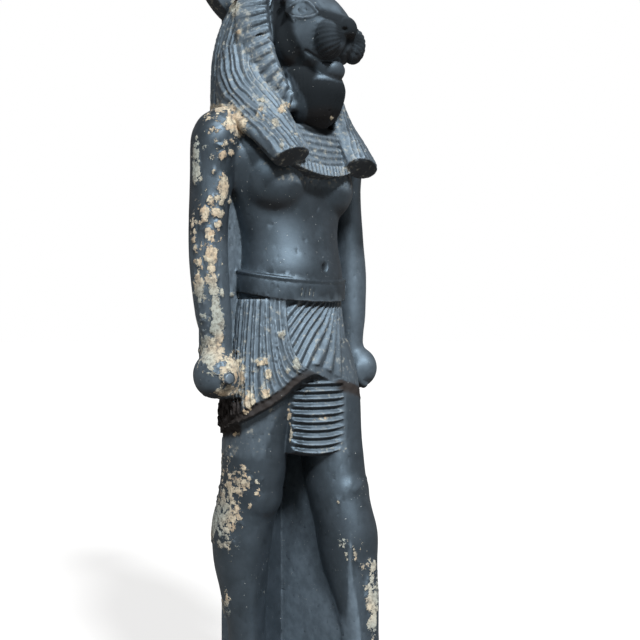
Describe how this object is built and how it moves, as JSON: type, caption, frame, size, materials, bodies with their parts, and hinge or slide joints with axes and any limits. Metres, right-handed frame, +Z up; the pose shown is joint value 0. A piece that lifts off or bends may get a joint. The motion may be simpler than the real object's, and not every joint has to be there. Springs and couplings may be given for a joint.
{
  "type": "egyptian statue",
  "caption": "Striding lion-headed figure in a pleated kilt, carved with its back pillar and low base from one block of dark stone.",
  "frame": {"origin": "centre of the base's underside", "axes": "+Z up, the figure faces -Y, its own left side is +X"},
  "size_m": [0.104, 0.116, 0.403],
  "materials": {
    "dark_stone": "smooth dark grey-blue stone, worn, with pale crusts left on it"
  },
  "bodies": {
    "root": {"statue": "dark_stone"}
  },
  "joints": []
}
